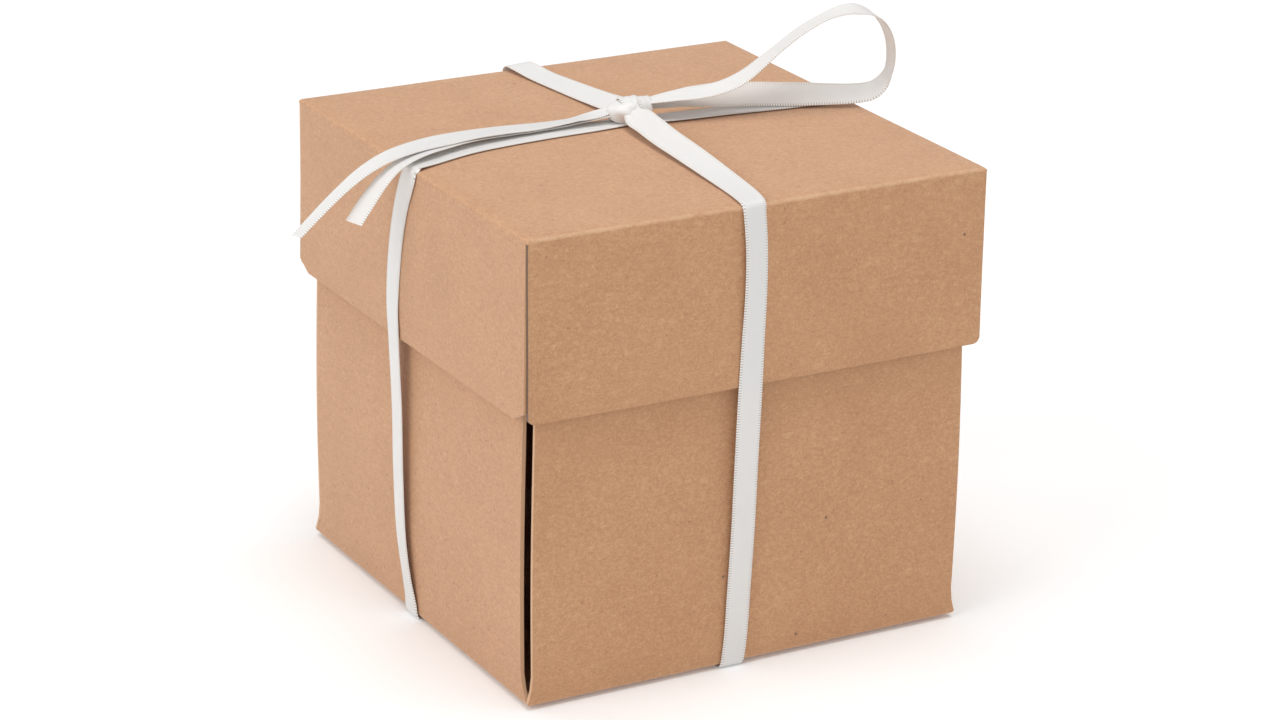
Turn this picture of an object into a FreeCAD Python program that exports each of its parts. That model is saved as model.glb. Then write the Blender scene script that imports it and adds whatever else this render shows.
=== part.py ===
import FreeCAD, Part
import math
import os

from FreeCAD import Vector

os.makedirs("parts", exist_ok=True)

# A two-piece gift box of kraft board tied with one satin ribbon. Millimetres, +Z up.
# The origin is on the surface that the box stands on, under the middle of the box.
# -Y is the front, +X the right side.

# ---- driving dimensions: board ----
card = 0.8                  # thickness of the board
fold_flat = 0.1             # flat left on a panel's edge beside the round of a fold
butt_gap = 0.1              # between the edges of two panels that meet without glue

# ---- driving dimensions: base ----
base_width = 100.0          # outside, along X
base_depth = 100.0          # outside, along Y
base_height = 97.0          # outside, floor and walls together
relief_height = 4.5         # walls narrow from the full width over this height
front_wall_relief = 1.1     # then stand this far in at each end, front and back walls
side_wall_relief = 3.0      # the same for the left and right walls

# ---- driving dimensions: lid ----
lid_skirt = 36.4            # height of the lid's walls under its top panel
lid_clearance = 0.2         # between the lid's glue tabs and the base
slit_at_top = 0.1           # the front wall's ends stand in from the corner, at the top
slit_at_bottom = 0.5        # and at the bottom, where the corner opens a little
lid_corner_radius = 1.5     # lower corners of the lid's front and back walls
chamfer_across = 4.2        # lower corners of the lid's side walls, along Y
chamfer_up = 2.2            # and along Z
tab_length = 14.0           # glue tab, from the corner fold
tab_taper = 3.0             # each tab narrows by this at its free end, top and bottom

# ---- driving dimensions: ribbon ----
ribbon_width = 5.8
ribbon_thick = 0.4
bend_radius = 0.5           # inner radius where the ribbon turns over a lid edge
bend_steps = 4
under_ramp = 3.0            # length over which the lower strip climbs over the other

# where the middle of each band crosses the edges that it turns over
front_band_x = (-2.3, -2.5, -3.8)   # lid top edge, lid lower edge, base lower edge
back_band_x = (1.2, 1.4, 1.8)
left_band_y = (-1.2, 5.0, 1.5)
right_band_y = (1.6, 1.2, 0.6)

# ---- driving dimensions: knot ----
knot_x = 2.0
knot_y = 6.0
knot_width = 9.0            # along X
knot_depth = 8.4            # along Y
knot_height = 5.2
knot_side_round = 1.0
knot_top_round = 1.8

# ---- the loop and the two tails, each a flat ribbon ----
# Points along the middle of the ribbon, from the knot outwards, chosen by hand. Heights are
# above the lid, and Y is from the middle of the knot. X is from the middle of the knot in a
# list that starts or ends there, and from the lid's edge where the ribbon passes over it.
loop_leaving_knot = [
    (3.9, -0.4, 3.3), (10.8, 0.5, 3.7), (19.4, 0.1, 3.5), (27.4, -1.3, 3.1), (35.0, -3.8, 2.7),
]
loop_past_edge = [
    (-7.8, -6.5, 2.5), (-1.8, -8.9, 2.4), (3.2, -10.3, 2.8), (6.1, -11.0, 6.2), (6.6, -11.1, 11.2),
    (5.5, -10.9, 16.0), (2.6, -10.4, 19.7), (-1.4, -9.5, 21.2), (-6.5, -8.5, 20.6),
]
loop_back_to_knot = [
    (36.4, -7.2, 17.4), (29.6, -6.2, 12.4), (23.2, -5.0, 7.4), (16.6, -3.7, 5.6),
    (10.2, -2.4, 5.4), (3.9, -1.1, 4.6),
]
long_tail_leaving_knot = [
    (-3.9, 1.2, 2.9), (-8.8, 2.6, 1.7), (-14.2, 3.0, 1.25), (-21.1, 2.7, 1.25), (-28.1, 2.2, 1.7),
    (-35.3, 1.3, 2.1),
]
long_tail_past_edge = [
    (11.0, 0.0, 2.2), (4.0, -1.5, 2.2), (-2.5, -2.9, 1.6), (-8.7, -3.7, -0.6), (-14.2, -4.1, -4.2),
    (-19.2, -4.4, -8.1), (-23.5, -4.7, -11.7),
]
short_tail_leaving_knot = [
    (-3.9, 0.9, 2.1), (-9.2, 2.8, 1.1), (-14.5, 3.2, 0.7), (-21.5, 3.0, 0.7), (-28.5, 2.4, 1.1),
    (-36.0, 1.2, 1.5),
]
short_tail_past_edge = [
    (10.8, -0.7, 1.5), (3.3, -4.1, 1.6), (-3.0, -6.4, 0.3), (-8.2, -7.7, -3.6),
    (-13.0, -8.8, -9.2),
]
run_share = 0.45            # of the shorter run, used by the arc that joins two runs

# ---- levels and outside sizes that follow ----
floor_z = 2 * ribbon_thick
wall_foot_z = floor_z + card
wall_head_z = floor_z + base_height
lid_under_z = wall_head_z
lid_top_z = lid_under_z + card
skirt_z = lid_under_z - lid_skirt
fold_radius = card - fold_flat
overhang = 2 * card + lid_clearance
lid_width = base_width + 2 * overhang
lid_depth = base_depth + 2 * overhang
base_x = base_width / 2
base_y = base_depth / 2
lid_x = lid_width / 2
lid_y = lid_depth / 2

nodes = {}


def panel(outline, thick):
    """A flat panel from its outline's corners, pushed out along a vector."""
    corners = [Vector(*p) for p in outline]
    return Part.Face(Part.makePolygon(corners + corners[:1])).extrude(Vector(*thick))


def block(low, high):
    size = Vector(*high) - Vector(*low)
    return Part.makeBox(size.x, size.y, size.z, Vector(*low))


def edges_where(shape, test):
    """The shape's edges whose box (x0, x1, y0, y1, z0, z1) passes a test."""
    found = []
    for edge in shape.Edges:
        b = edge.BoundBox
        if test(b.XMin, b.XMax, b.YMin, b.YMax, b.ZMin, b.ZMax):
            found.append(edge)
    return found


def near(a, b):
    return abs(a - b) < 1e-4


def mirrored(shape, axis):
    return shape.mirror(Vector(0, 0, 0), axis)


X_AXIS = Vector(1, 0, 0)
Y_AXIS = Vector(0, 1, 0)
Z_AXIS = Vector(0, 0, 1)


# ---- base ----
def base_floor():
    floor = block((-base_x, -base_y, floor_z), (base_x, base_y, wall_foot_z))
    folds = edges_where(floor, lambda x0, x1, y0, y1, z0, z1: near(z1, floor_z))
    return floor.makeFillet(fold_radius, folds)


def base_front_wall():
    """As wide as the floor at its fold, then narrower, so that each corner is an open slit."""
    bend_z = wall_foot_z + relief_height
    in_x = base_x - front_wall_relief
    outline = [
        (-base_x, -base_y, wall_foot_z), (base_x, -base_y, wall_foot_z), (in_x, -base_y, bend_z),
        (in_x, -base_y, wall_head_z), (-in_x, -base_y, wall_head_z), (-in_x, -base_y, bend_z),
    ]
    return panel(outline, (0, card, 0))


def base_left_wall():
    """Stands between the front and back walls, which it doesn't touch."""
    bend_z = wall_foot_z + relief_height
    foot_y = base_y - card - butt_gap
    in_y = base_y - side_wall_relief
    outline = [
        (-base_x, -foot_y, wall_foot_z), (-base_x, foot_y, wall_foot_z), (-base_x, in_y, bend_z),
        (-base_x, in_y, wall_head_z), (-base_x, -in_y, wall_head_z), (-base_x, -in_y, bend_z),
    ]
    return panel(outline, (card, 0, 0))


# ---- lid ----
def lid_top_panel():
    top = block((-lid_x, -lid_y, lid_under_z), (lid_x, lid_y, lid_top_z))
    folds = edges_where(top, lambda x0, x1, y0, y1, z0, z1: near(z0, lid_top_z))
    return top.makeFillet(fold_radius, folds)


def lid_front_wall():
    """Glued over the tabs. Its ends lean in, so that the corner opens towards the bottom."""
    head_x = lid_x - slit_at_top
    foot_x = lid_x - slit_at_bottom
    outline = [
        (-foot_x, -lid_y, skirt_z), (foot_x, -lid_y, skirt_z),
        (head_x, -lid_y, lid_under_z), (-head_x, -lid_y, lid_under_z),
    ]
    wall = panel(outline, (0, card, 0))
    corners = edges_where(
        wall, lambda x0, x1, y0, y1, z0, z1: near(z1, skirt_z) and near(x0, x1))
    return wall.makeFillet(lid_corner_radius, corners)


def lid_left_wall():
    """Runs from tab to tab, with its lower corners cut away."""
    end_y = lid_y - 2 * card
    outline = [
        (-lid_x, -end_y, lid_under_z), (-lid_x, end_y, lid_under_z),
        (-lid_x, end_y, skirt_z + chamfer_up), (-lid_x, end_y - chamfer_across, skirt_z),
        (-lid_x, chamfer_across - end_y, skirt_z), (-lid_x, -end_y, skirt_z + chamfer_up),
    ]
    return panel(outline, (card, 0, 0))


def lid_corner_tab():
    """The left wall's front glue tab, folded round the corner and behind the front wall."""
    fold_x = -lid_x
    free_x = tab_length - lid_x
    face_y = card - lid_y
    low_z = skirt_z + chamfer_up
    outline = [
        (fold_x, face_y, low_z), (free_x, face_y, low_z + tab_taper),
        (free_x, face_y, lid_under_z - tab_taper), (fold_x, face_y, lid_under_z),
    ]
    tab = panel(outline, (0, card, 0))
    fold = edges_where(
        tab, lambda x0, x1, y0, y1, z0, z1: near(x1, fold_x) and near(y1, face_y))
    return tab.makeFillet(fold_radius, fold)


# ---- ribbon laid on the box ----
def flat_faces(a, b, c, d):
    """The four-cornered face abcd, as two triangles where it isn't flat."""
    if abs((b - a).cross(c - a).dot(d - a)) < 1e-9:
        return [Part.Face(Part.makePolygon([a, b, c, d, a]))]
    return [Part.Face(Part.makePolygon([a, b, c, a])), Part.Face(Part.makePolygon([a, c, d, a]))]


def band(sections, across):
    """A ribbon through sections, each the middle of its inner face and its way out."""
    half = across * (ribbon_width / 2)
    rings = []
    for middle, out in sections:
        outer = middle + out * ribbon_thick
        rings.append([middle - half, middle + half, outer + half, outer - half])
    faces = flat_faces(*rings[0]) + flat_faces(*rings[-1])
    for ring, after in zip(rings, rings[1:]):
        for i in range(4):
            j = (i + 1) % 4
            faces += flat_faces(ring[i], ring[j], after[j], after[i])
    skin = Part.makeShell(faces)
    skin.sewShape()
    solid = Part.makeSolid(Part.makeShell(skin.Faces))
    if solid.Volume < 0:
        solid.reverse()
    return solid


def side_frame(side):
    """The way out, the way along and the half sizes of a side of the box."""
    frames = {
        "front": (Vector(0, -1, 0), X_AXIS, lid_y, base_y),
        "back": (Vector(0, 1, 0), X_AXIS, lid_y, base_y),
        "left": (Vector(-1, 0, 0), Y_AXIS, lid_x, base_x),
        "right": (Vector(1, 0, 0), Y_AXIS, lid_x, base_x),
    }
    return frames[side]


def top_band(side, start, places):
    """From the knot along the lid's top, over its edge and down to its lower edge."""
    out, along, lid_half, _ = side_frame(side)
    edge_place, skirt_place, _ = places
    hub = out * (lid_half - bend_radius) + Z_AXIS * (lid_top_z - bend_radius) + along * edge_place
    sections = [(start, Z_AXIS)]
    for step in range(bend_steps + 1):
        turn = math.radians(90.0 * step / bend_steps)
        way = Z_AXIS * math.cos(turn) + out * math.sin(turn)
        sections.append((hub + way * bend_radius, way))
    sections.append((out * lid_half + along * skirt_place + Z_AXIS * skirt_z, out))
    return band(sections, along)


def side_band(side, places):
    """From the lid's lower edge straight to the base's lower edge."""
    out, along, lid_half, base_half = side_frame(side)
    _, skirt_place, foot_place = places
    head = out * lid_half + along * skirt_place + Z_AXIS * skirt_z
    foot = out * base_half + along * foot_place
    return band([(head, out), (foot, out)], along)


def under_band_x():
    """Under the floor from the left edge to the right edge, flat on the ground."""
    left = Vector(-base_x, left_band_y[2], ribbon_thick)
    right = Vector(base_x, right_band_y[2], ribbon_thick)
    return band([(left, -Z_AXIS), (right, -Z_AXIS)], Y_AXIS)


def under_band_y():
    """Under the floor from front to back, up and over the other band in the middle."""
    lift = Vector(0, 0, ribbon_thick)
    front = Vector(front_band_x[2], -base_y, ribbon_thick)
    back = Vector(back_band_x[2], base_y, ribbon_thick)
    clear = ribbon_width / 2 + abs(left_band_y[2] - right_band_y[2]) / 2 + butt_gap
    cross_y = (left_band_y[2] + right_band_y[2]) / 2
    sections = [(front, -Z_AXIS)]
    for offset, raised in ((-clear - under_ramp, 0), (-clear, 1), (clear, 1), (clear + under_ramp, 0)):
        share = (cross_y + offset + base_y) / base_depth
        sections.append((front + (back - front) * share + lift * raised, -Z_AXIS))
    sections.append((back, -Z_AXIS))
    return band(sections, X_AXIS)


# ---- knot, loop and tails ----
def from_knot(points):
    return [(knot_x + x, knot_y + y, lid_top_z + z) for x, y, z in points]


def from_edge(points, edge_x):
    return [(edge_x + x, knot_y + y, lid_top_z + z) for x, y, z in points]


def ribbon_knot():
    low = (knot_x - knot_width / 2, knot_y - knot_depth / 2, lid_top_z)
    high = (knot_x + knot_width / 2, knot_y + knot_depth / 2, lid_top_z + knot_height)
    knot = block(low, high)
    upright = edges_where(knot, lambda x0, x1, y0, y1, z0, z1: near(x0, x1) and near(y0, y1))
    knot = knot.makeFillet(knot_side_round, upright)
    rim = edges_where(knot, lambda x0, x1, y0, y1, z0, z1: near(z0, high[2]))
    return knot.makeFillet(knot_top_round, rim)


def rounded_path(name, points):
    """Straight runs joined by tangent arcs. Returns the wire and its length."""
    route = [Vector(*p) for p in points]
    edges = []
    radii = []
    last = route[0]
    for before, corner, after in zip(route, route[1:], route[2:]):
        back = (before - corner).normalize()
        ahead = (after - corner).normalize()
        cut = run_share * min((before - corner).Length, (after - corner).Length)
        half_turn = (math.pi - back.getAngle(ahead)) / 2
        radius = cut / math.tan(half_turn)
        middle_way = (back + ahead).normalize()
        apex = corner + middle_way * (radius / math.cos(half_turn) - radius)
        start = corner + back * cut
        end = corner + ahead * cut
        edges.append(Part.LineSegment(last, start).toShape())
        edges.append(Part.Arc(start, apex, end).toShape())
        radii.append(radius)
        last = end
    edges.append(Part.LineSegment(last, route[-1]).toShape())
    wire = Part.Wire(edges)
    print(name, "length", round(wire.Length, 1), "radii", [round(r, 1) for r in radii])
    return wire


def free_ribbon(name, points):
    """A flat strip along a route, its width level and square to the route's plan."""
    wire = rounded_path(name, points)
    first = Vector(*points[0])
    reach = max((Vector(*p) for p in points), key=lambda p: (p - first).Length) - first
    level = Vector(reach.y, -reach.x, 0).normalize()
    way = (Vector(*points[1]) - first).normalize()
    up = way.cross(level).normalize()
    half_w = level * (ribbon_width / 2)
    half_t = up * (ribbon_thick / 2)
    corners = [first - half_w - half_t, first + half_w - half_t,
               first + half_w + half_t, first - half_w + half_t]
    sweep = Part.BRepOffsetAPI.MakePipeShell(wire)
    sweep.setBiNormalMode(level)
    sweep.add(Part.makePolygon(corners + corners[:1]))
    sweep.build()
    sweep.makeSolid()
    strip = sweep.shape()
    share = strip.Volume / (wire.Length * ribbon_width * ribbon_thick)
    print(name, "volume over section times length", round(share, 3), "valid", strip.isValid())
    return strip


nodes["base_floor"] = base_floor()
nodes["base_wall_front"] = base_front_wall()
nodes["base_wall_back"] = mirrored(nodes["base_wall_front"], Y_AXIS)
nodes["base_wall_left"] = base_left_wall()
nodes["base_wall_right"] = mirrored(nodes["base_wall_left"], X_AXIS)

nodes["lid_top_panel"] = lid_top_panel()
nodes["lid_wall_front"] = lid_front_wall()
nodes["lid_wall_back"] = mirrored(nodes["lid_wall_front"], Y_AXIS)
nodes["lid_wall_left"] = lid_left_wall()
nodes["lid_wall_right"] = mirrored(nodes["lid_wall_left"], X_AXIS)
nodes["lid_tab_front_left"] = lid_corner_tab()
nodes["lid_tab_front_right"] = mirrored(nodes["lid_tab_front_left"], X_AXIS)
nodes["lid_tab_back_left"] = mirrored(nodes["lid_tab_front_left"], Y_AXIS)
nodes["lid_tab_back_right"] = mirrored(nodes["lid_tab_back_left"], X_AXIS)

band_starts = {
    "front": Vector(knot_x, knot_y - knot_depth / 2, lid_top_z),
    "back": Vector(knot_x, knot_y + knot_depth / 2, lid_top_z),
    "left": Vector(knot_x - knot_width / 2, knot_y, lid_top_z),
    "right": Vector(knot_x + knot_width / 2, knot_y, lid_top_z),
}
band_places = {
    "front": front_band_x, "back": back_band_x, "left": left_band_y, "right": right_band_y,
}
for side, places in band_places.items():
    nodes["ribbon_top_" + side] = top_band(side, band_starts[side], places)
    nodes["ribbon_side_" + side] = side_band(side, places)
nodes["ribbon_under_across"] = under_band_x()
nodes["ribbon_under_front_to_back"] = under_band_y()
nodes["ribbon_knot"] = ribbon_knot()
routes = {
    "bow_loop": from_knot(loop_leaving_knot) + from_edge(loop_past_edge, lid_x)
    + from_knot(loop_back_to_knot),
    "bow_tail_long": from_knot(long_tail_leaving_knot) + from_edge(long_tail_past_edge, -lid_x),
    "bow_tail_short": from_knot(short_tail_leaving_knot) + from_edge(short_tail_past_edge, -lid_x),
}
for name, points in routes.items():
    nodes[name] = free_ribbon(name, points)

for name, shape in nodes.items():
    shape.exportStep("parts/" + name + ".step")
    print(name, shape.ShapeType, len(shape.Solids), "valid", shape.isValid(), round(shape.Volume, 1))
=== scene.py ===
import math

import bmesh
import bpy
import numpy as np
from mathutils import Matrix, Vector, noise


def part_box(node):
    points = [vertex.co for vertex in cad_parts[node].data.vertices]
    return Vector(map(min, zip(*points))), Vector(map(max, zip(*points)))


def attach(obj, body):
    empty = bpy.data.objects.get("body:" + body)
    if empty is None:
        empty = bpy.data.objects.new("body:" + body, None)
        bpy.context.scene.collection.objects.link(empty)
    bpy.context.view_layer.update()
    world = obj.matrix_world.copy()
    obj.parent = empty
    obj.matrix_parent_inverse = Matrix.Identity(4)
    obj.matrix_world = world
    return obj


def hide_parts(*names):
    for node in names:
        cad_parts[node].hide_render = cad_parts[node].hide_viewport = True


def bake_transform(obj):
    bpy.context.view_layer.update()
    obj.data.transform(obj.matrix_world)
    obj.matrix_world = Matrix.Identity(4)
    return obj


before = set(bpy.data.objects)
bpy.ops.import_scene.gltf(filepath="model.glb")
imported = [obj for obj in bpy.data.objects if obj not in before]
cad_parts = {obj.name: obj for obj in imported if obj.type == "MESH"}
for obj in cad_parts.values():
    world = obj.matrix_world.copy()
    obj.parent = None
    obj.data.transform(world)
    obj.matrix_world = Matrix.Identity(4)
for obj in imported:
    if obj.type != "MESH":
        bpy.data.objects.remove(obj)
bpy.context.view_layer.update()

# A kraft board gift box tied with one satin ribbon. Metres, in the frame's axes: -Y is the
# front, +X the right side, +Z up. MM turns millimetres into metres.
MM = 0.001

# ---- places read from the frame ----
LID_LOW, LID_HIGH = (Vector(c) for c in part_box("lid_top_panel"))
FLOOR_LOW, FLOOR_HIGH = (Vector(c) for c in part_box("base_floor"))
KNOT_LOW, KNOT_HIGH = (Vector(c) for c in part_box("ribbon_knot"))
CARD = LID_HIGH.z - LID_LOW.z
LID_TOP = LID_HIGH.z
LID_X, LID_Y = LID_HIGH.x, LID_HIGH.y
BASE_X, BASE_Y = FLOOR_HIGH.x, FLOOR_HIGH.y
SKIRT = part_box("lid_wall_front")[0][2]
KNOT = Vector(((KNOT_LOW.x + KNOT_HIGH.x) / 2, (KNOT_LOW.y + KNOT_HIGH.y) / 2, LID_TOP))

# ---- the boards ----
FOLD_RADIUS = 0.7 * MM      # of the creases round the lid's top and the base's floor
RELIEF_LOW = 2.5 * MM       # the base's walls narrow quickly up to this height over its floor,
RELIEF_HIGH = 5.5 * MM      # slowly up to this one, and no more above it
FRONT_RELIEF = 1.1 * MM     # at each end of the front and back walls they narrow by this much,
FRONT_SLOW = 0.35 * MM      # of which this much is in the slow part
SIDE_RELIEF = 3.0 * MM      # the same for the left and right walls
SIDE_SLOW = 0.7 * MM
FOOT_GAP = 0.1 * MM         # from a side wall's end to the front or back wall
SLIT_TOP = 0.15 * MM        # at the top, the lid's front and back walls end this far in from the
SLIT_FOOT = 0.6 * MM        # corner, and at their lower edge this far
LID_CORNER = 1.5 * MM       # radius of those walls' lower corners
CHAMFER_UP = 2.2 * MM       # lower corners of the lid's left and right walls
CHAMFER_ACROSS = 4.2 * MM
TAB_LENGTH = 14 * MM        # the lid's glue tabs
TAB_TAPER = 3 * MM
TAB_INSET = 0.3 * MM        # a tab starts inside the wall that it is folded from
SEAM = 0.02 * MM            # between the lid's side walls and its front and back walls
SAME = 1e-6                 # two places nearer than this are the same
GRID = 4 * MM               # the boards are divided about this finely, so that they can bow

# ---- the ribbon ----
RIBBON_THICK = 0.30 * MM
STEP = 0.8 * MM             # between two cross-sections of a ribbon
COLUMNS = 12                # strips across a ribbon


# ---------------------------------------------------------------- camera
def make_camera():
    """A long lens, a little above the box and to the left of its front."""
    azimuth, elevation, roll = (math.radians(a) for a in (-29.4, 20.46, 1.0))
    distance, aside, height = 0.8191, 0.0018, 0.0489
    back = Vector((math.sin(azimuth) * math.cos(elevation),
                   -math.cos(azimuth) * math.cos(elevation), math.sin(elevation)))
    level = Vector((math.cos(azimuth), math.sin(azimuth), 0))
    upright = back.cross(level)
    right = level * math.cos(roll) + upright * math.sin(roll)
    up = upright * math.cos(roll) - level * math.sin(roll)
    data = bpy.data.cameras.new("camera")
    data.lens = 110.3
    data.sensor_width = 36.0
    data.clip_start = 0.01
    camera = bpy.data.objects.new("camera", data)
    place = level * aside + Vector((0, 0, height)) + back * distance
    turn = Matrix((right, up, back)).transposed().to_4x4()
    camera.matrix_world = Matrix.Translation(place) @ turn
    bpy.context.scene.collection.objects.link(camera)
    bpy.context.scene.camera = camera


make_camera()


# ---------------------------------------------------------------- node helpers
class Nodes:
    """A small helper that adds shader nodes and links them."""

    def __init__(self, name):
        self.material = bpy.data.materials.new(name)
        self.material.use_nodes = True
        self.tree = self.material.node_tree
        self.shader = self.tree.nodes["Principled BSDF"]

    def add(self, kind, inputs=None, **settings):
        node = self.tree.nodes.new(kind)
        for key, value in settings.items():
            setattr(node, key, value)
        for key, value in (inputs or {}).items():
            self.feed(node.inputs[key], value)
        return node

    def feed(self, socket, value):
        if isinstance(value, bpy.types.NodeSocket):
            self.tree.links.new(value, socket)
        else:
            socket.default_value = value

    def math(self, operation, a, b=0.0, c=0.0, clamp=False):
        node = self.add("ShaderNodeMath", {0: a, 1: b, 2: c}, operation=operation, use_clamp=clamp)
        return node.outputs[0]

    def mix(self, factor, a, b):
        node = self.add("ShaderNodeMix", data_type="RGBA")
        self.feed(node.inputs[0], factor)
        self.feed(node.inputs[6], a)
        self.feed(node.inputs[7], b)
        return node.outputs[2]

    def ramp(self, value, low, high, start=0.0, end=1.0):
        node = self.add("ShaderNodeMapRange", {0: value, 1: low, 2: high, 3: start, 4: end})
        node.interpolation_type = "SMOOTHSTEP"
        return node.outputs[0]

    def noise(self, where, scale, detail=2.0, roughness=0.5):
        node = self.add("ShaderNodeTexNoise", {
            "Vector": where, "Scale": scale, "Detail": detail, "Roughness": roughness})
        return node.outputs["Fac"]

    def stretched(self, where, scale, turn=0.0):
        node = self.add("ShaderNodeMapping", {
            "Vector": where, "Scale": scale, "Rotation": (turn, turn, turn)})
        return node.outputs[0]


# ---------------------------------------------------------------- kraft board
KRAFT = (0.580, 0.306, 0.152, 1)
KRAFT_DARK = (0.455, 0.220, 0.102, 1)
KRAFT_PALE = (0.710, 0.415, 0.226, 1)
KRAFT_EDGE = (0.700, 0.430, 0.250, 1)
# Painted shade: a near-black colour for every cut edge of the lid's front wall, so that the slits at its
# corners read as shadowed gaps.
KRAFT_PAINTED_SLIT_SHADE = (0.090, 0.040, 0.020, 1)
KRAFT_WORN = (0.740, 0.490, 0.310, 1)
SPECK = (0.150, 0.075, 0.040, 1)


def kraft_material(name, edge_axis=None, edge_colour=KRAFT_EDGE):
    """Uncoated kraft board. edge_axis is the axis square to a panel, whose cut edges take
    edge_colour: the cut board's own pale colour, or near-black painted shade on the lid's front
    wall."""
    n = Nodes(name)
    where = n.add("ShaderNodeTexCoord").outputs["Object"]
    cloud = n.noise(where, 70.0, 3.0, 0.55)
    mottle = n.noise(n.stretched(where, (900.0, 1300.0, 1700.0)), 1.0, 4.0, 0.65)
    grain = n.noise(where, 2600.0, 3.0, 0.65)
    fibres = []
    for turn, scale in ((0.35, (2600.0, 420.0, 1500.0)), (-0.6, (520.0, 2400.0, 620.0)),
                        (1.15, (1500.0, 640.0, 2700.0))):
        fibres.append(n.noise(n.stretched(where, scale, turn), 1.0, 2.0, 0.55))
    fibre = n.math("MAXIMUM", n.math("MAXIMUM", fibres[0], fibres[1]), fibres[2])
    tone = n.math("MULTIPLY_ADD", n.math("SUBTRACT", mottle, 0.5), 0.74, 0.5)
    tone = n.math("MULTIPLY_ADD", n.math("SUBTRACT", cloud, 0.5), 0.30, tone)
    tone = n.math("MULTIPLY_ADD", n.math("SUBTRACT", grain, 0.5), 1.05, tone)
    tone = n.math("MULTIPLY_ADD", n.math("SUBTRACT", fibre, 0.6), 0.90, tone, clamp=True)
    colour = n.add("ShaderNodeValToRGB", {0: tone})
    stops = colour.color_ramp.elements
    stops[0].position, stops[0].color = 0.05, KRAFT_DARK
    stops[1].position, stops[1].color = 0.95, KRAFT_PALE
    middle = stops.new(0.5)
    middle.color = KRAFT
    colour = colour.outputs[0]
    for scale, size, chance, tint, amount in (
            (170.0, 0.055, 0.90, SPECK, 0.75), (420.0, 0.10, 0.86, SPECK, 0.42),
            (300.0, 0.10, 0.88, KRAFT_PALE, 0.55)):
        cells = n.add("ShaderNodeTexVoronoi", {"Vector": where, "Scale": scale, "Randomness": 1.0})
        spot = n.ramp(cells.outputs["Distance"], size * 1.5, size * 0.6)
        picked = n.add("ShaderNodeSeparateColor", {0: cells.outputs["Color"]}).outputs[0]
        chosen = n.math("GREATER_THAN", picked, chance)
        colour = n.mix(n.math("MULTIPLY", n.math("MULTIPLY", spot, chosen), amount), colour, tint)
    colour = n.mix(fold_wear(n, where), colour, KRAFT_WORN)
    if edge_axis is not None:
        facing = n.add("ShaderNodeNewGeometry").outputs["True Normal"]
        part = n.add("ShaderNodeSeparateXYZ", {0: facing}).outputs[edge_axis]
        cut = n.ramp(n.math("ABSOLUTE", part), 0.75, 0.45)
        # Cut edges take edge_colour: the pale cut board, or painted shade on the lid's front wall.
        colour = n.mix(n.math("MULTIPLY", cut, 0.90), colour, edge_colour)
    n.feed(n.shader.inputs["Base Color"], colour)
    n.shader.inputs["Roughness"].default_value = 0.75
    n.shader.inputs["Specular IOR Level"].default_value = 0.50
    n.shader.inputs["Sheen Weight"].default_value = 0.30
    n.shader.inputs["Sheen Roughness"].default_value = 0.5
    height = n.math("ADD", n.math("MULTIPLY", fibre, 0.6), n.math("MULTIPLY", grain, 0.4))
    bump = n.add("ShaderNodeBump", {"Strength": 0.22, "Distance": 0.00005, "Height": height})
    wave = n.add("ShaderNodeBump", {
        "Strength": 0.5, "Distance": 0.0004, "Height": n.noise(where, 38.0, 1.0, 0.4),
        "Normal": bump.outputs[0]})
    n.feed(n.shader.inputs["Normal"], wave.outputs[0])
    return n.material


def fold_wear(n, where):
    """1 along the worn creases, broken up by a noise: the lid's top creases at the front and back
    most, those at its sides less, and the base's lower creases."""
    x, y, z = (n.add("ShaderNodeSeparateXYZ", {0: where}).outputs[i] for i in range(3))
    patchy = n.ramp(n.noise(where, 420.0, 4.0, 0.65), 0.32, 0.60, 0.30, 1.0)
    total = 0.0
    for half_x, half_y, level, side, end in (
            (LID_X, LID_Y, LID_TOP, 0.08, 0.75), (BASE_X, BASE_Y, FLOOR_LOW.z, 0.40, 0.40)):
        from_x = n.math("ABSOLUTE", n.math("SUBTRACT", n.math("ABSOLUTE", x), half_x))
        from_y = n.math("ABSOLUTE", n.math("SUBTRACT", n.math("ABSOLUTE", y), half_y))
        from_z = n.math("ABSOLUTE", n.math("SUBTRACT", z, level))
        for nearest, amount in ((from_x, side), (from_y, end)):
            worn = n.ramp(n.math("ADD", nearest, from_z), 0.85 * MM, 0.30 * MM)
            total = n.math("MAXIMUM", total, n.math("MULTIPLY", worn, amount))
    return n.math("MULTIPLY", total, patchy)


# ---------------------------------------------------------------- satin ribbon
SATIN = (0.850, 0.836, 0.816, 1)
SATIN_SHADE = (0.800, 0.780, 0.755, 1)
SATIN_EDGE = (0.930, 0.918, 0.895, 1)
SATIN_GAP = (0.600, 0.550, 0.500, 1)


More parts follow.
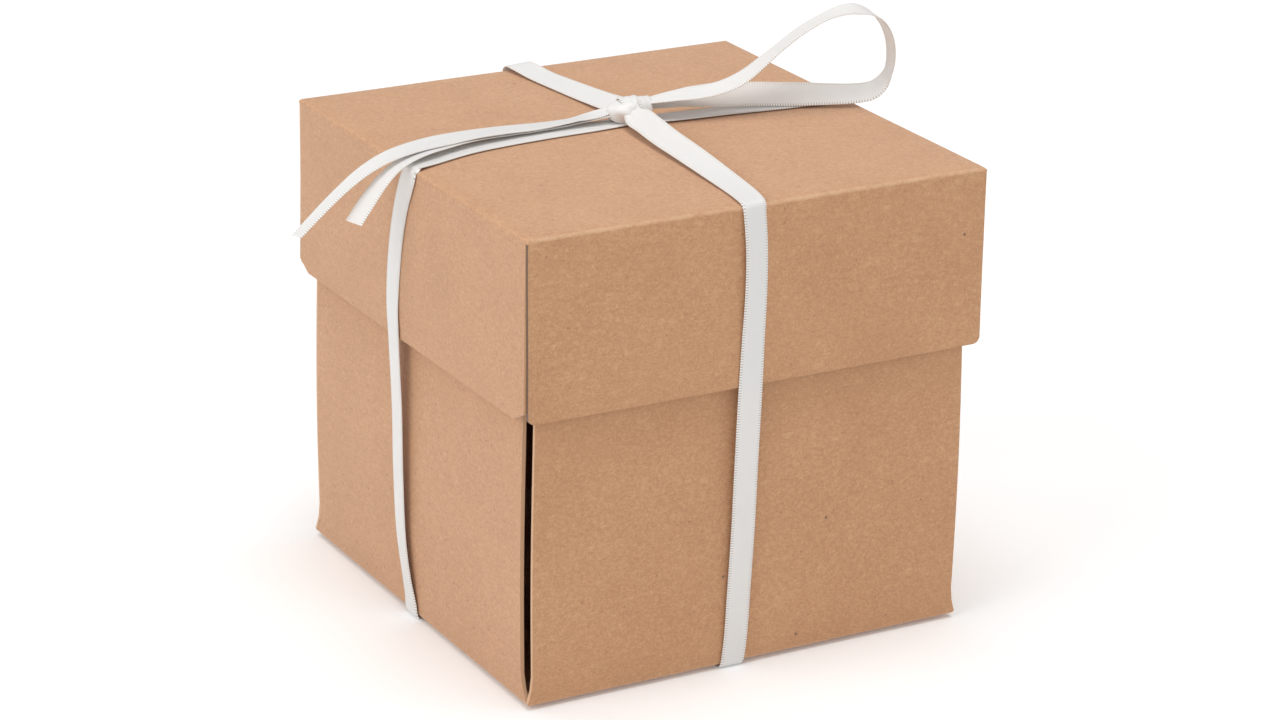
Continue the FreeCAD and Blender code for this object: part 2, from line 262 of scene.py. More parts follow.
def satin_material(name):
    """Off-white satin with fine threads along its length and a woven edge on each side.
    The map called ribbon holds the place across, from 0 to 1, and along, in metres."""
    n = Nodes(name)
    where = n.add("ShaderNodeUVMap", uv_map="ribbon").outputs[0]
    across, along, _ = (n.add("ShaderNodeSeparateXYZ", {0: where}).outputs[i] for i in range(3))
    aside = n.math("MULTIPLY", n.math("ABSOLUTE", n.math("SUBTRACT", across, 0.5)), 2.0)
    edge = n.ramp(aside, 0.75, 0.83)
    threads = n.math("SINE", n.math("MULTIPLY", across, 2 * math.pi * 26))
    rungs = n.math("SINE", n.math("MULTIPLY", along, 2 * math.pi / (0.55 * MM)))
    rung = n.math("MULTIPLY", edge, n.ramp(rungs, -0.2, 0.6))
    place = n.add("ShaderNodeTexCoord").outputs["Object"]
    uneven = n.noise(place, 260.0, 3.0, 0.55)
    colour = n.mix(n.math("MULTIPLY", uneven, 0.35), SATIN, SATIN_SHADE)
    colour = n.mix(edge, colour, SATIN_EDGE)
    colour = n.mix(rung, colour, SATIN_GAP)
    n.feed(n.shader.inputs["Base Color"], colour)
    n.feed(n.shader.inputs["Roughness"], n.ramp(edge, 0.0, 1.0, 0.40, 0.72))
    n.shader.inputs["Specular IOR Level"].default_value = 0.45
    n.shader.inputs["Anisotropic"].default_value = 0.55
    tangent = n.add("ShaderNodeTangent", direction_type="UV_MAP", uv_map="ribbon")
    n.feed(n.shader.inputs["Tangent"], tangent.outputs[0])
    n.shader.inputs["Sheen Weight"].default_value = 0.25
    n.shader.inputs["Sheen Roughness"].default_value = 0.35
    n.shader.inputs["Subsurface Weight"].default_value = 0.15
    n.shader.inputs["Subsurface Radius"].default_value = (1.0, 0.94, 0.88)
    n.shader.inputs["Subsurface Scale"].default_value = 0.0010
    height = n.math("ADD", n.math("MULTIPLY", threads, 0.25), n.math("MULTIPLY", rung, 1.6))
    height = n.math("MULTIPLY_ADD", uneven, 2.0, height)
    bump = n.add("ShaderNodeBump", {"Strength": 0.35, "Distance": 0.00006, "Height": height})
    n.feed(n.shader.inputs["Normal"], bump.outputs[0])
    return n.material


# ---------------------------------------------------------------- mesh helpers
def link(name, mesh, materials):
    obj = bpy.data.objects.new(name, mesh)
    bpy.context.scene.collection.objects.link(obj)
    for material in materials:
        mesh.materials.append(material)
    return obj


def shade(mesh, limit):
    """Smooth shading, with edges over the limit in degrees left sharp."""
    bm = bmesh.new()
    bm.from_mesh(mesh)
    for edge in bm.edges:
        edge.smooth = len(edge.link_faces) == 2 and edge.calc_face_angle(0) < math.radians(limit)
    for face in bm.faces:
        face.smooth = True
    bm.to_mesh(mesh)
    bm.free()


def board(name, node, outline, depth, material, warp, rounded=None, radius=0.0):
    """A panel of board: an outline pushed out along depth, the edges that rounded picks rounded off, and
    the whole divided finely and bent by warp.
    """
    bm = bmesh.new()
    face = bm.faces.new([bm.verts.new(p) for p in outline])
    pushed = bmesh.ops.extrude_face_region(bm, geom=[face])["geom"]
    bmesh.ops.translate(bm, vec=depth, verts=[v for v in pushed if isinstance(v, bmesh.types.BMVert)])
    bmesh.ops.recalc_face_normals(bm, faces=bm.faces)
    if rounded is not None:
        chosen = [e for e in bm.edges if rounded((e.verts[0].co + e.verts[1].co) / 2)]
        bmesh.ops.bevel(bm, geom=chosen, offset=radius, segments=5, profile=0.5, affect="EDGES")
    for axis in range(3):
        low = min(v.co[axis] for v in bm.verts)
        high = max(v.co[axis] for v in bm.verts)
        count = int((high - low) / GRID)
        normal = Vector((axis == 0, axis == 1, axis == 2))
        for i in range(1, count):
            place = normal * (low + (high - low) * i / count)
            bmesh.ops.bisect_plane(bm, geom=bm.verts[:] + bm.edges[:] + bm.faces[:],
                                   plane_co=place, plane_no=normal)
    for v in bm.verts:
        v.co = warp(v.co)
    mesh = bpy.data.meshes.new(name)
    bm.to_mesh(mesh)
    bm.free()
    shade(mesh, 35)
    obj = link(name, mesh, [material])
    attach(obj, "lid" if node.startswith("lid") else "base")
    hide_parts(node)


# ---------------------------------------------------------------- how the boards bend
FLARE = 0.42 * MM           # the lid's walls stand out this far at their lower edge
LID_BOW = 0.22 * MM         # and bow out this far half way along
BASE_BOW = 0.45 * MM        # the base's walls bow out between the floor and the lid
RIPPLE_SEED = 1             # noise_vector is otherwise seeded from the clock, and no two runs agree

noise.seed_set(RIPPLE_SEED)


def ripple(p, size, amount):
    return noise.noise_vector(p / size) * amount


def warp_lid(p):
    down = max(0.0, (LID_LOW.z - p.z) / (LID_LOW.z - SKIRT))
    flare = FLARE * down ** 1.2
    bow = LID_BOW * math.sin(math.pi * min(1.0, down) * 0.75)
    out_x = p.x / LID_X
    out_y = p.y / LID_Y
    x = p.x + flare * out_x + bow * out_x ** 9 * (1 - out_y ** 2)
    y = p.y + flare * out_y + bow * out_y ** 9 * (1 - out_x ** 2)
    return Vector((x, y, p.z)) + ripple(p, 0.021, 0.05 * MM)


def warp_base(p):
    up = (p.z - FLOOR_LOW.z) / (SKIRT - FLOOR_LOW.z)
    bow = BASE_BOW * math.sin(math.pi * up) if 0 < up < 1 else 0.0
    out_x = p.x / BASE_X
    out_y = p.y / BASE_Y
    x = p.x + bow * out_x ** 9 * (0.55 + 0.6 * out_y ** 2)
    y = p.y + bow * out_y ** 9 * (0.55 - 0.2 * out_x ** 2)
    return Vector((x, y, p.z)) + ripple(p, 0.023, 0.04 * MM)


# ---------------------------------------------------------------- boards
def turned(points, side):
    """Points drawn for the front or the left side, for that side or the one across from it."""
    flip = {"front": (1, 1), "back": (1, -1), "left": (1, 1), "right": (-1, 1)}[side]
    return [Vector((p[0] * flip[0], p[1] * flip[1], p[2])) for p in points]


def make_base(plain, wall_x, wall_y):
    low, high, top = FLOOR_LOW.z, FLOOR_HIGH.z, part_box("base_wall_front")[1][2]
    square = [(-BASE_X, -BASE_Y, high), (BASE_X, -BASE_Y, high), (BASE_X, BASE_Y, high),
              (-BASE_X, BASE_Y, high)]
    board("base_floor_board", "base_floor", square, Vector((0, 0, low - high)), plain, warp_base,
          lambda p: abs(p.z - low) < SAME, FOLD_RADIUS)
    bend_low = high + RELIEF_LOW
    bend_high = high + RELIEF_HIGH
    in_x = BASE_X - FRONT_RELIEF
    bend_x = in_x + FRONT_SLOW
    for side in ("front", "back"):
        node = "base_wall_" + side
        outline = turned([
            (-BASE_X, -BASE_Y, high), (BASE_X, -BASE_Y, high), (bend_x, -BASE_Y, bend_low),
            (in_x, -BASE_Y, bend_high), (in_x, -BASE_Y, top), (-in_x, -BASE_Y, top),
            (-in_x, -BASE_Y, bend_high), (-bend_x, -BASE_Y, bend_low)], side)
        depth = turned([(0, CARD, 0)], side)[0]
        board(node + "_board", node, outline, depth, wall_y, warp_base)
    foot_y = BASE_Y - CARD - FOOT_GAP
    in_y = BASE_Y - SIDE_RELIEF
    bend_y = in_y + SIDE_SLOW
    for side in ("left", "right"):
        node = "base_wall_" + side
        outline = turned([
            (-BASE_X, -foot_y, high), (-BASE_X, foot_y, high), (-BASE_X, bend_y, bend_low),
            (-BASE_X, in_y, bend_high), (-BASE_X, in_y, top), (-BASE_X, -in_y, top),
            (-BASE_X, -in_y, bend_high), (-BASE_X, -bend_y, bend_low)], side)
        depth = turned([(CARD, 0, 0)], side)[0]
        board(node + "_board", node, outline, depth, wall_x, warp_base)


def make_lid(plain, wall_x, wall_y, wall_front_painted_edge_shade):
    low, high = LID_LOW.z, LID_TOP
    square = [(-LID_X, -LID_Y, low), (LID_X, -LID_Y, low), (LID_X, LID_Y, low), (-LID_X, LID_Y, low)]
    board("lid_top_board", "lid_top_panel", square, Vector((0, 0, CARD)), plain, warp_lid,
          lambda p: abs(p.z - high) < SAME, FOLD_RADIUS)
    foot_x = LID_X - SLIT_FOOT
    # The front wall's cut edges carry painted shade, near black, for the shadowed slits at the lid's front
    # corners.
    for side, material in (("front", wall_front_painted_edge_shade), ("back", wall_y)):
        node = "lid_wall_" + side
        half = [(foot_x - LID_CORNER * (1 - math.sin(a)), -LID_Y, SKIRT + LID_CORNER * (1 - math.cos(a)))
                for a in np.linspace(0, math.pi / 2, 6)]
        half.append((LID_X - SLIT_TOP, -LID_Y, low))
        outline = turned(half + [(-x, y, z) for x, y, z in reversed(half)], side)
        depth = turned([(0, CARD, 0)], side)[0]
        board(node + "_board", node, outline, depth, material, warp_lid)
    end_y = LID_Y - CARD - SEAM
    for side in ("left", "right"):
        node = "lid_wall_" + side
        outline = turned([
            (-LID_X, -end_y, low), (-LID_X, end_y, low), (-LID_X, end_y, SKIRT + CHAMFER_UP),
            (-LID_X, end_y - CHAMFER_ACROSS, SKIRT), (-LID_X, CHAMFER_ACROSS - end_y, SKIRT),
            (-LID_X, -end_y, SKIRT + CHAMFER_UP)], side)
        depth = turned([(CARD, 0, 0)], side)[0]
        board(node + "_board", node, outline, depth, wall_x, warp_lid)
    face_y = CARD - LID_Y
    fold_x = TAB_INSET - LID_X
    free_x = TAB_LENGTH - LID_X
    foot = SKIRT + CHAMFER_UP
    for front in (1, -1):
        for left in (1, -1):
            node = "lid_tab_" + ("front" if front > 0 else "back") + ("_left" if left > 0 else "_right")
            outline = [Vector((x * left, face_y * front, z)) for x, z in (
                (fold_x, foot), (free_x, foot + TAB_TAPER), (free_x, low - TAB_TAPER), (fold_x, low))]
            board(node + "_board", node, outline, Vector((0, CARD * front, 0)), plain, warp_lid)


# ---------------------------------------------------------------- ribbons
def unit(rows):
    return rows / np.linalg.norm(rows, axis=1)[:, None]


def spaced(points, step):
    """Points evenly spaced along a line, and how far along each is."""
    points = np.asarray(points, float)
    along = np.concatenate([[0], np.cumsum(np.linalg.norm(np.diff(points, axis=0), axis=1))])
    wanted = np.linspace(0, along[-1], max(4, int(along[-1] / step) + 1))
    return np.stack([np.interp(wanted, along, points[:, i]) for i in range(3)], 1), wanted


def strip(bm, layer, line, across, widths, creases):
    """Adds one ribbon to a mesh. line has its middle points, across the way over it at each."""
    tangent = unit(np.gradient(line, axis=0))
    across = unit(across - tangent * (across * tangent).sum(1)[:, None])
    normal = np.cross(tangent, across)
    along = np.concatenate([[0], np.cumsum(np.linalg.norm(np.diff(line, axis=0), axis=1))])
    sides = np.linspace(-1, 1, COLUMNS + 1)
    selvedge = np.where(np.abs(sides) > 0.8, 1.0, 0.8) * np.where(np.abs(sides) > 0.99, 0.45, 1.0)
    rings = []
    for i in range(len(line)):
        ring = []
        for face in (1, -1):
            order = range(COLUMNS + 1) if face > 0 else range(COLUMNS, -1, -1)
            for j in order:
                lift = creases[i] * math.cos(2.5 * math.pi * sides[j] + 0.6)
                p = (line[i] + across[i] * sides[j] * widths[i] / 2
                     + normal[i] * (lift + face * selvedge[j] * RIBBON_THICK / 2))
                ring.append((bm.verts.new(p), (sides[j] + 1) / 2, along[i]))
        rings.append(ring)
    count = len(rings[0])
    for ring, after in zip(rings, rings[1:]):
        for j in range(count):
            k = (j + 1) % count
            corners = (ring[j], ring[k], after[k], after[j])
            face = bm.faces.new([c[0] for c in corners])
            for loop, corner in zip(face.loops, corners):
                loop[layer].uv = corner[1:]
    for ring, flip in ((rings[0], True), (rings[-1], False)):
        corners = ring if flip else ring[::-1]
        face = bm.faces.new([c[0] for c in corners])
        for loop, corner in zip(face.loops, corners):
            loop[layer].uv = corner[1:]


def ribbon_object(name, line, across, widths, creases, material):
    """One piece that is a single strip of ribbon."""
    bm = bmesh.new()
    strip(bm, bm.loops.layers.uv.new("ribbon"), line, across, widths, creases)
    return ribbon_piece(name, bm, material)


def ribbon_piece(name, bm, material):
    """The piece that a finished bmesh makes."""
    bmesh.ops.recalc_face_normals(bm, faces=bm.faces)
    mesh = bpy.data.meshes.new(name)
    bm.to_mesh(mesh)
    bm.free()
    shade(mesh, 60)
    obj = link(name, mesh, [material])
    return obj


def through(stations, step=STEP):
    """A smooth line through the given stations (x, y, z, tilt in degrees, width, crease), in
    millimetres. Returns the line, tilts, widths and creases at even steps."""
    rows = np.array(stations, float)
    knots = np.concatenate([[0], np.cumsum(np.sqrt(np.linalg.norm(np.diff(rows[:, :3], axis=0), axis=1)))])
    before = rows[0] * 2 - rows[1]
    after = rows[-1] * 2 - rows[-2]
    padded = np.vstack([before, rows, after])
    times = np.concatenate([[knots[0] - (knots[1] - knots[0])], knots, [knots[-1] * 2 - knots[-2]]])
    fine = []
    for i in range(1, len(padded) - 2):
        t0, t1, t2, t3 = times[i - 1:i + 3]
        for t in np.linspace(t1, t2, 12, endpoint=False):
            a1 = padded[i - 1] * (t1 - t) / (t1 - t0) + padded[i] * (t - t0) / (t1 - t0)
            a2 = padded[i] * (t2 - t) / (t2 - t1) + padded[i + 1] * (t - t1) / (t2 - t1)
            a3 = padded[i + 1] * (t3 - t) / (t3 - t2) + padded[i + 2] * (t - t2) / (t3 - t2)
            b1 = a1 * (t2 - t) / (t2 - t0) + a2 * (t - t0) / (t2 - t0)
            b2 = a2 * (t3 - t) / (t3 - t1) + a3 * (t - t1) / (t3 - t1)
            fine.append(b1 * (t2 - t) / (t2 - t1) + b2 * (t - t1) / (t2 - t1))
    fine.append(rows[-1])
    fine = np.array(fine)
    along = np.concatenate([[0], np.cumsum(np.linalg.norm(np.diff(fine[:, :3], axis=0), axis=1))])
    wanted = np.linspace(0, along[-1], max(4, int(along[-1] * MM / step) + 1))
    even = np.stack([np.interp(wanted, along, fine[:, i]) for i in range(6)], 1)
    return even[:, :3] * MM, even[:, 3], even[:, 4] * MM, even[:, 5] * MM


def tilted(line, level, tilts):
    """The way across a ribbon: level and square to its line, then tilted about the line."""
    tangent = unit(np.gradient(line, axis=0))
    level = np.broadcast_to(np.asarray(level, float), line.shape)
    flat = unit(level - tangent * (level * tangent).sum(1)[:, None])
    raised = np.cross(tangent, flat)
    turn = np.radians(tilts)[:, None]
    return flat * np.cos(turn) + raised * np.sin(turn)


# A band's stations run from the knot over the lid's top, its edge and its skirt, and down the
# base to its lower edge.
def side_band(name, side, stations, material):
    """One band from the knot to the base's lower edge, which follows both the lid and the base."""
    line, tilts, widths, creases = through(stations)
    level = {"front": (1, 0, 0), "back": (-1, 0, 0), "left": (0, -1, 0), "right": (0, 1, 0)}[side]
    obj = ribbon_object(name, line, tilted(line, level, tilts), widths, creases, material)
    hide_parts("ribbon_top_" + side, "ribbon_side_" + side)
    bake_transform(obj)


def make_bands(satin):
    top, skirt, low = LID_TOP / MM, SKIRT / MM, FLOOR_LOW.z / MM
    lid_x, lid_y = LID_X / MM, LID_Y / MM
    off = 0.30              # from the lid's edge to the middle of a band that turns over it
    full, flat = 5.6, 0.0   # the width of a ribbon laid flat, and a ribbon without creases
    front = [
        (2.5, 9.6, top + 0.8, 0, 3.6, 0.03), (2.4, 9.4, top + 2.8, 0, 3.7, 0.04),
        (2.1, 8.3, top + 4.7, 0, 3.9, 0.04), (1.8, 6.8, top + 5.4, 3, 4.0, 0.05),
        (1.5, 5.2, top + 4.9, 8, 3.8, 0.05), (1.3, 4.0, top + 3.8, 14, 3.5, 0.06),
        (1.2, 2.8, top + 3.1, 22, 4.3, 0.05), (1.1, 1.3, top + 2.9, 27, 5.4, 0.02),
        (0.6, -4.5, top + 2.75, 25, full, flat), (0.1, -12.0, top + 2.3, 23, full, flat),
        (-0.15, -22.0, top + 1.8, 19, full, flat), (-0.5, -32.0, top + 1.25, 13, full, flat),
        (-0.8, -39.0, top + 0.85, 8, full, flat), (-1.3, -45.5, top + 0.60, 4, full, flat),
        (-2.0, -49.6, top + 0.50, 1, 5.5, flat), (-2.3, -lid_y + 0.7, top + off + 0.05, 0, 5.4, flat),
        (-2.35, -lid_y - 0.1, top - 0.15, -3, 5.4, flat), (-2.3, -lid_y - off, top - 1.6, -7, 5.4, flat),
        (-1.8, -lid_y - 0.60, top - 9, -9, 5.4, flat), (-1.8, -lid_y - 0.75, top - 18, -8, 5.4, flat),
        (-2.2, -lid_y - 0.78, top - 28, -4, 5.4, flat), (-2.5, -lid_y - 0.78, skirt, 0, 5.4, flat),
        (-2.6, -51.9, skirt * 0.72, 0, 5.4, flat), (-2.7, -51.5, skirt * 0.5, 0, 5.4, flat),
        (-3.0, -51.0, skirt * 0.28, 0, 5.4, flat), (-3.3, -50.6, skirt * 0.1, 0, 5.4, flat),
        (-3.8, -50.35, 1.1, 0, 5.4, flat), (-3.9, -50.0, 0.40, 0, 5.4, flat),
        (-3.9, -49.2, 0.22, 0, 5.4, flat)]
    back = [
        (2.2, 7.2, top + 2.0, -8, 3.8, 0.05), (2.5, 9.0, top + 2.3, -14, 4.4, 0.04),
        (2.9, 11.2, top + 2.2, -20, 5.2, 0.03), (2.9, 14.5, top + 1.8, -20, full, flat),
        (2.6, 19.0, top + 1.45, -17, full, flat), (2.0, 26.3, top + 1.10, -14, full, flat),
        (1.2, 34.5, top + 0.90, -10, full, flat), (0.35, 42.2, top + 0.85, -7, full, flat),
        (-0.4, 48.5, top + 1.25, -6, full, flat), (-0.7, 51.2, top + 1.15, -3, full, flat),
        (-0.7, lid_y + 0.75, top - 0.1, 0, full, flat), (-0.5, lid_y + 0.75, top - 2.0, 0, full, flat),
        (0.2, lid_y + 0.5, top - 12, 0, full, flat), (0.9, lid_y + 0.7, top - 26, 0, full, flat),
        (1.2, lid_y + 0.78, skirt, 0, full, flat), (1.5, 51.4, skirt * 0.5, 0, full, flat),
        (1.7, 50.6, skirt * 0.1, 0, full, flat), (1.8, 50.35, 1.1, 0, full, flat),
        (1.8, 50.0, 0.40, 0, full, flat), (1.8, 49.2, 0.22, 0, full, flat)]
    left = [
        (3.5, 6.2, top + 0.55, 0, 4.6, 0.15), (-1.0, 6.2, top + 0.45, 0, 5.2, 0.10),
        (-6.0, 6.1, top + 0.32, 0, full, flat), (-17.0, 5.8, top + 0.30, 0, full, flat),
        (-28.0, 5.0, top + 0.30, 0, full, flat), (-37.0, 3.6, top + 0.32, 0, full, flat),
        (-45.0, 1.0, top + 0.35, 0, full, flat), (-lid_x + 1.2, -1.2, top + off + 0.05, 0, full, flat),
        (-lid_x - 0.05, -1.9, top - 0.10, 0, full, flat), (-lid_x - off, -1.3, top - 1.8, 0, full, flat),
        (-lid_x - 0.40, 1.6, top - 8, 0, full, flat), (-lid_x - 0.55, 3.6, top - 15, 0, full, flat),
        (-lid_x - 0.65, 5.1, top - 24, 0, full, flat), (-lid_x - 0.75, 5.5, top - 31, 2, full, flat),
        (-lid_x - 0.78, 5.0, skirt, 4, full, flat), (-52.0, 4.8, skirt * 0.75, 5, full, flat),
        (-51.7, 4.9, skirt * 0.5, 5, full, flat), (-51.2, 4.7, skirt * 0.28, 6, full, flat),
        (-50.8, 3.1, skirt * 0.14, 7, full, flat), (-50.5, 1.9, skirt * 0.06, 3, full, flat),
        (-50.4, 1.5, 1.2, 0, full, flat), (-50.1, 1.5, 0.42, 0, full, flat),
        (-49.3, 1.5, 0.22, 0, full, flat)]
    right = [
        (0.0, 5.8, top + 0.55, 0, 4.6, 0.15), (5.5, 5.4, top + 0.55, 0, 5.2, 0.10),
        (11.0, 4.8, top + 0.5, 0, full, flat), (24.0, 3.9, top + 0.4, 0, full, flat),
        (38.0, 2.4, top + 0.35, 0, full, flat), (47.0, 1.8, top + 0.40, 0, full, flat),
        (lid_x - 1.2, 1.6, top + off + 0.05, 0, full, flat), (lid_x + 0.05, 1.6, top - 0.10, 0, full, flat),
        (lid_x + off, 1.5, top - 1.8, 0, full, flat), (lid_x + 0.55, 1.4, top - 15, 0, full, flat),
        (lid_x + 0.70, 1.3, top - 28, 0, full, flat), (lid_x + 0.78, 1.2, skirt, 0, full, flat),
        (51.7, 1.0, skirt * 0.5, 0, full, flat), (50.8, 0.8, skirt * 0.11, 0, full, flat),
        (50.4, 0.6, 1.2, 0, full, flat), (50.05, 0.6, 0.42, 0, full, flat),
        (49.3, 0.6, 0.22, 0, full, flat)]
    for name, side, stations in (("ribbon_front", "front", front), ("ribbon_back", "back", back),
                                 ("ribbon_left", "left", left), ("ribbon_right", "right", right)):
        side_band(name, side, stations, satin)
    across = [(-49.6, 0.9, 0.2, 0, full, 0), (-20, 1.2, 0.2, 0, full, 0), (20, 1.0, 0.2, 0, full, 0),
              (49.6, 0.6, 0.2, 0, full, 0)]
    line, tilts, widths, creases = through(across)
    obj = ribbon_object("ribbon_under_x", line, tilted(line, (0, -1, 0), tilts), widths, creases, satin)
    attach(obj, "base")
    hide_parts("ribbon_under_across")
    along = [(-3.9, -49.5, 0.2, 0, full, 0), (-3.0, -30, 0.2, 0, full, 0), (-2.0, -8, 0.26, 0, full, 0),
             (-1.7, -4, 0.56, 0, full, 0), (-1.0, 5, 0.56, 0, full, 0), (-0.8, 9, 0.26, 0, full, 0),
             (0.4, 30, 0.2, 0, full, 0), (1.8, 49.5, 0.2, 0, full, 0)]
    line, tilts, widths, creases = through(along)
    obj = ribbon_object("ribbon_under_y", line, tilted(line, (1, 0, 0), tilts), widths, creases, satin)
    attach(obj, "base")
    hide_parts("ribbon_under_front_to_back")


# ---------------------------------------------------------------- bow
# The routes of the loop and the two tails, as in the CAD part: X from the middle of the knot in
# a list that starts or ends there, and from the lid's edge where the ribbon passes over it. Y is
# from the middle of the knot and Z from the lid's top in all of them.
LOOP_LEAVING_KNOT = [
    (0.0039, -0.0004, 0.0033), (0.0108, 0.0005, 0.0037), (0.0194, 0.0001, 0.0035),
    (0.0274, -0.0013, 0.0031), (0.0350, -0.0038, 0.0027),
]
LOOP_PAST_EDGE = [
    (-0.0078, -0.0065, 0.0025), (-0.0018, -0.0089, 0.0024), (0.0032, -0.0103, 0.0028),
    (0.0061, -0.0110, 0.0062), (0.0066, -0.0111, 0.0112), (0.0055, -0.0109, 0.0160),
    (0.0026, -0.0104, 0.0197), (-0.0014, -0.0095, 0.0212), (-0.0065, -0.0085, 0.0206),
]
LOOP_BACK_TO_KNOT = [
    (0.0364, -0.0072, 0.0174), (0.0296, -0.0062, 0.0124), (0.0232, -0.0050, 0.0074),
    (0.0166, -0.0037, 0.0056), (0.0102, -0.0024, 0.0054), (0.0039, -0.0011, 0.0046),
]
LONG_TAIL_LEAVING_KNOT = [
    (-0.0039, 0.0012, 0.0029), (-0.0088, 0.0026, 0.0017), (-0.0142, 0.0030, 0.00125),
    (-0.0211, 0.0027, 0.00125), (-0.0281, 0.0022, 0.0017), (-0.0353, 0.0013, 0.0021),
]
LONG_TAIL_PAST_EDGE = [
    (0.0110, 0.0000, 0.0022), (0.0040, -0.0015, 0.0022), (-0.0025, -0.0029, 0.0016),
    (-0.0087, -0.0037, -0.0006), (-0.0142, -0.0041, -0.0042), (-0.0192, -0.0044, -0.0081),
    (-0.0235, -0.0047, -0.0117),
]
SHORT_TAIL_LEAVING_KNOT = [
    (-0.0039, 0.0009, 0.0021), (-0.0092, 0.0028, 0.0011), (-0.0145, 0.0032, 0.0007),
    (-0.0215, 0.0030, 0.0007), (-0.0285, 0.0024, 0.0011), (-0.0360, 0.0012, 0.0015),
]
SHORT_TAIL_PAST_EDGE = [
    (0.0108, -0.0007, 0.0015), (0.0033, -0.0041, 0.0016), (-0.0030, -0.0064, 0.0003),
    (-0.0082, -0.0077, -0.0036), (-0.0130, -0.0088, -0.0092),
]


def from_knot(points):
    return [KNOT + Vector(p) for p in points]


def from_edge(points, edge_x):
    return [Vector((edge_x, KNOT.y, LID_TOP)) + Vector(p) for p in points]


def nurbs_line(points):
    """Points read from the NURBS curve that has these control points."""
    curve = bpy.data.curves.new("route", "CURVE")
    curve.dimensions = "3D"
    spline = curve.splines.new("NURBS")
    spline.points.add(len(points) - 1)
    for point, place in zip(spline.points, points):
        point.co = (*place, 1)
    spline.order_u = 3
    spline.use_endpoint_u = True
    curve.resolution_u = 16
    obj = bpy.data.objects.new("route", curve)
    bpy.context.scene.collection.objects.link(obj)
    mesh = bpy.data.meshes.new_from_object(obj.evaluated_get(bpy.context.evaluated_depsgraph_get()))
    places = [tuple(v.co) for v in mesh.vertices]
    bpy.data.objects.remove(obj)
    bpy.data.meshes.remove(mesh)
    bpy.data.curves.remove(curve)
    return places


def free_ribbon(name, node, route, level, shape, material):
    """A free ribbon. shape has rows (share of the length, tilt in degrees, width, crease)."""
    line, along = spaced(nurbs_line(route), STEP)
    share = along / along[-1]
    rows = np.array(shape, float)
    tilts, widths, creases = (np.interp(share, rows[:, 0], rows[:, i]) for i in (1, 2, 3))
    obj = ribbon_object(name, line, tilted(line, level, tilts), widths * MM, creases * MM, material)
    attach(obj, "lid")
    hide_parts(node)


def make_bow(satin):
    loop = (from_knot(LOOP_LEAVING_KNOT) + from_edge(LOOP_PAST_EDGE, LID_X)
            + from_knot(LOOP_BACK_TO_KNOT))
    free_ribbon("bow_loop_ribbon", "bow_loop", loop, (0.208, 0.978, 0), [
        (0.00, 15, 2.8, 0.06), (0.03, 22, 4.2, 0.05), (0.09, 36, 5.4, 0.02), (0.14, 48, 5.6, 0),
        (0.28, 45, 5.6, 0), (0.40, 26, 5.6, 0), (0.45, -5, 5.6, 0), (0.51, 2, 5.6, 0),
        (0.55, 4, 5.6, 0), (0.60, -10, 5.6, 0), (0.66, 4, 5.6, 0), (0.76, 4, 5.6, 0),
        (0.84, -7, 5.6, 0), (0.93, -11, 5.4, 0.03), (0.97, -9, 4.2, 0.05), (1.00, -9, 2.8, 0.06),
    ], satin)
    free_ribbon("bow_tail_long_ribbon", "bow_tail_long",
                from_knot(LONG_TAIL_LEAVING_KNOT) + from_edge(LONG_TAIL_PAST_EDGE, -LID_X),
                (0.07, -0.998, 0), [
        (0.00, -6, 2.6, 0.05), (0.03, -1, 4.0, 0.04), (0.06, 6, 5.0, 0.02), (0.10, 12, 5.6, 0),
        (0.24, 2, 5.6, 0), (0.40, 0, 5.6, 0), (0.51, -5, 5.6, 0), (0.66, 0, 5.6, 0),
        (0.83, 11, 5.6, 0), (1.00, 15, 5.6, 0),
    ], satin)
    free_ribbon("bow_tail_short_ribbon", "bow_tail_short",
                from_knot(SHORT_TAIL_LEAVING_KNOT) + from_edge(SHORT_TAIL_PAST_EDGE, -LID_X),
                (0.139, -0.990, 0), [
        (0.00, 8, 2.6, 0.05), (0.03, 11, 4.0, 0.04), (0.065, 12, 5.0, 0.02), (0.16, 8, 5.6, 0),
        (0.37, 3, 5.6, 0), (0.60, 4, 5.6, 0), (0.80, 11, 5.6, 0), (0.93, 2, 5.6, 0), (1.00, 2, 5.6, 0),
    ], satin)


def make_knot(satin):
    """The knot: a tight round bundle of ribbon, with a turn of ribbon drawn over its right end."""
    top = LID_TOP / MM
    turn = [(4.9, 8.4, top + 0.8, 0, 3.2, 0.02), (5.0, 8.2, top + 3.6, 0, 3.4, 0.03),
            (4.9, 6.8, top + 5.1, -4, 3.5, 0.03), (4.7, 4.9, top + 5.0, -6, 3.4, 0.03),
            (4.4, 3.3, top + 3.6, -10, 3.2, 0.03), (4.2, 2.9, top + 0.9, -10, 3.0, 0.02)]
    bm = bmesh.new()
    layer = bm.loops.layers.uv.new("ribbon")
    line, tilts, widths, creases = through(turn, 0.5 * MM)
    strip(bm, layer, line, tilted(line, (1, 0, 0), tilts), widths, creases)
    bundle = bmesh.ops.create_icosphere(bm, subdivisions=5, radius=1.0)["verts"]
    centre = KNOT + Vector((-0.1, 0.5, 2.5)) * MM
    for v in bundle:
        pleat = 1 + 0.025 * math.sin(8 * v.co.y + 2 * v.co.x) + 0.07 * noise.noise(v.co * 1.8)
        v.co = centre + Vector((v.co.x * 4.7, v.co.y * 3.7, v.co.z * 2.6)) * pleat * MM
    for face in {face for v in bundle for face in v.link_faces}:
        for loop in face.loops:
            loop[layer].uv = (0.5, loop.vert.co.x - centre.x)
    knot = ribbon_piece("ribbon_knot_folds", bm, satin)
    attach(knot, "lid")
    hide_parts("ribbon_knot")


# ---------------------------------------------------------------- stage
WORLD_COLOUR = (1, 1, 1, 1)
WORLD_POWER = 0.32
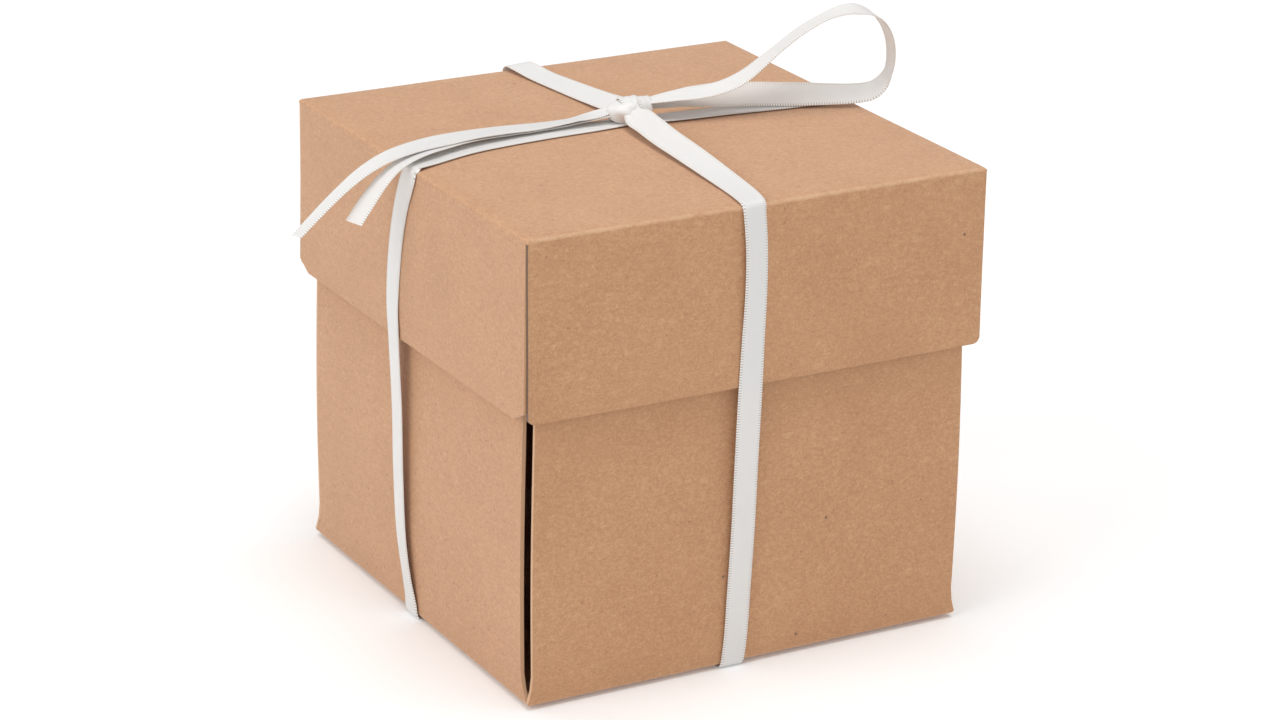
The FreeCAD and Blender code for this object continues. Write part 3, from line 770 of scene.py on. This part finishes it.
# Each lamp's name, place, size and power in watts. All are white.
LAMPS = (
    ("left", (-2.0, -0.3, 1.3), 1.6, 14.8),
    ("fill", (-0.7, -1.9, 1.2), 1.6, 5.0),
    ("over", (0.1, -0.1, 2.5), 1.6, 36.5),
    ("right", (1.9, -1.3, 1.0), 0.6, 2.5),
    ("behind", (-1.2, 1.8, 1.4), 1.4, 8.0),
)


def make_stage():
    """A plain pale floor, with soft light from above and a little from each side."""
    mesh = bpy.data.meshes.new("floor")
    size = 6.0
    mesh.from_pydata([(-size, -size, 0), (size, -size, 0), (size, size, 0), (-size, size, 0)], [],
                     [(0, 1, 2, 3)])
    material = bpy.data.materials.new("floor")
    material.use_nodes = True
    shader = material.node_tree.nodes["Principled BSDF"]
    shader.inputs["Base Color"].default_value = (0.96, 0.96, 0.96, 1)
    shader.inputs["Emission Color"].default_value = (1, 1, 1, 1)
    shader.inputs["Emission Strength"].default_value = 0.10
    shader.inputs["Roughness"].default_value = 0.9
    floor = link("floor", mesh, [material])
    world = bpy.data.worlds.new("studio")
    world.use_nodes = True
    world.node_tree.nodes["Background"].inputs[0].default_value = WORLD_COLOUR
    world.node_tree.nodes["Background"].inputs[1].default_value = WORLD_POWER
    bpy.context.scene.world = world
    for name, place, size, power in LAMPS:
        data = bpy.data.lights.new(name, "AREA")
        data.energy = power
        data.size = size
        lamp = bpy.data.objects.new(name, data)
        lamp.location = place
        aim = Vector((0, 0, 0.05)) - Vector(place)
        lamp.rotation_euler = aim.to_track_quat("-Z", "Y").to_euler()
        bpy.context.scene.collection.objects.link(lamp)
    bpy.context.scene.view_settings.view_transform = "Standard"


satin = satin_material("white_satin")
make_bow(satin)
make_knot(satin)
make_bands(satin)
plain = kraft_material("kraft_board")
wall_x = kraft_material("kraft_board_wall_x", 0)
wall_y = kraft_material("kraft_board_wall_y", 1)
make_base(plain, wall_x, wall_y)
# The lid's front wall gets painted shade on its cut edges in place of the pale cut-board colour.
make_lid(plain, wall_x, wall_y, kraft_material("kraft_board_wall_front_painted_edge_shade", 1, KRAFT_PAINTED_SLIT_SHADE))
make_stage()
